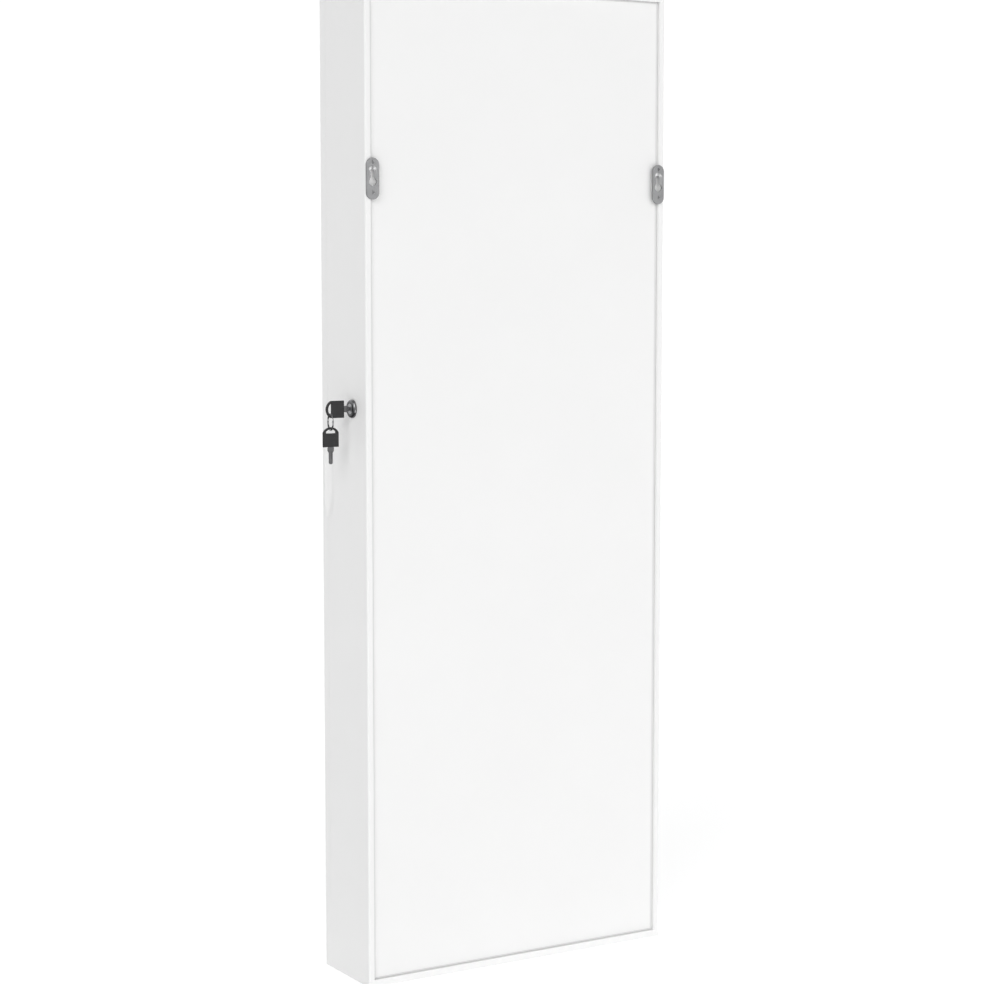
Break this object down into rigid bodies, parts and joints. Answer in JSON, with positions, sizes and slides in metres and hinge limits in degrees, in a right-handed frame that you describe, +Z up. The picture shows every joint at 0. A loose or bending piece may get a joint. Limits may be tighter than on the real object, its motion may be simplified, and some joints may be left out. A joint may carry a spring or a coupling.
{
  "type": "jewelry mirror cabinet",
  "caption": "Tall shallow wall-hung jewellery cabinet with a framed mirror door, a side cam lock with keys, keyhole hanger plates and a lined interior with shelves, hooks and rails.",
  "frame": {"origin": "centre of the cabinet's underside, where the bottom panel's middle is", "axes": "+Z up, -Y out of the mirror door's front, +Y towards the wall, +X to the lock side"},
  "size_m": [0.4155, 0.1016, 1.06],
  "materials": {
    "white_board": "white satin laminate on fibreboard",
    "dowel_wood": "plain beech",
    "backing_board": "brown hardboard",
    "hanger_steel": "satin zinc plate",
    "screw_steel": "zinc plated",
    "hinge_steel": "nickel plated, satin",
    "lock_chrome": "bright chrome",
    "lock_core_metal": "die cast, satin",
    "key_plastic": "black moulded plastic",
    "key_metal": "nickel plated",
    "ring_steel": "bright spring steel",
    "mirror_silver": "silvered float glass",
    "velvet": "black velvet",
    "acrylic_black": "black acrylic",
    "rail_chrome": "bright chrome rod",
    "catch_plastic": "white moulded plastic",
    "magnet_ferrite": "dark ferrite"
  },
  "bodies": {
    "case": {"side_panel_left": "white_board", "side_panel_right": "white_board", "top_panel": "white_board", "bottom_panel": "white_board", "back_panel": "white_board", "hook_rail": "white_board", "case_dowels": "dowel_wood", "bracelet_bar": "dowel_wood", "hanger_plate_left": "hanger_steel", "hanger_plate_right": "hanger_steel", "hanger_screws": "screw_steel", "hinge_screws_case": "screw_steel", "catch_screws": "screw_steel", "shelf_pins": "screw_steel", "hinge_leaf_case_top": "hinge_steel", "hinge_leaf_case_middle": "hinge_steel", "hinge_leaf_case_bottom": "hinge_steel", "hinge_pins": "hinge_steel", "lock_housing": "lock_chrome", "lock_nut": "lock_chrome", "back_lining": "velvet", "ring_cushion": "velvet", "bracelet_sleeve": "velvet", "shelf_upper": "velvet", "shelf_middle": "velvet", "shelf_lower": "velvet", "divider": "velvet", "earring_panel": "acrylic_black", "earring_posts": "acrylic_black", "guard_rail_upper": "rail_chrome", "guard_rail_middle": "rail_chrome", "guard_rail_lower": "rail_chrome", "guard_rail_bottom": "rail_chrome", "necklace_hooks": "rail_chrome", "catch_housing": "catch_plastic", "catch_magnet": "magnet_ferrite"},
    "door": {"door_stile_left": "white_board", "door_stile_right": "white_board", "door_rail_top": "white_board", "door_rail_bottom": "white_board", "door_dowels": "dowel_wood", "mirror_glass": "mirror_silver", "mirror_backing": "backing_board", "door_lining": "velvet", "hinge_leaf_door_top": "hinge_steel", "hinge_leaf_door_middle": "hinge_steel", "hinge_leaf_door_bottom": "hinge_steel", "hinge_screws_door": "screw_steel", "strike_bracket": "hinge_steel", "strike_screws": "screw_steel", "catch_plate": "hinge_steel", "catch_plate_screw": "screw_steel"},
    "lock_core": {"lock_plug": "lock_core_metal", "lock_cam": "hinge_steel", "cam_screw": "screw_steel"},
    "key": {"key_head": "key_plastic", "key_blade": "key_metal"},
    "ring": {"key_ring": "ring_steel"},
    "spare_key": {"spare_key_head": "key_plastic", "spare_key_blade": "key_metal"}
  },
  "joints": [
    {"name": "door_swing", "type": "hinge", "parent": "case", "child": "door", "pos_m": [-0.1904, -0.0379, 0.53], "axis": [0, 0, -1], "range_deg": [0, 170]},
    {"name": "lock_turn", "type": "hinge", "parent": "case", "child": "lock_core", "pos_m": [0.1875, 0.0195, 0.615], "axis": [-1, 0, 0], "range_deg": [0, 90]},
    {"name": "key_withdraw", "type": "slide", "parent": "lock_core", "child": "key", "axis": [1, 0, 0], "range_m": [0, 0.02]},
    {"name": "ring_swing", "type": "hinge", "parent": "key", "child": "ring", "pos_m": [0.2135, 0.0195, 0.6075], "axis": [-1, 0, 0], "range_deg": [-90, 0]},
    {"name": "spare_key_swing", "type": "hinge", "parent": "ring", "child": "spare_key", "pos_m": [0.2135, 0.0195, 0.59565], "axis": [-1, 0, 0], "range_deg": [-15, 15]}
  ],
  "couplings": [
    {"joint": "ring_swing", "follows": "lock_turn", "ratio": -1}
  ]
}
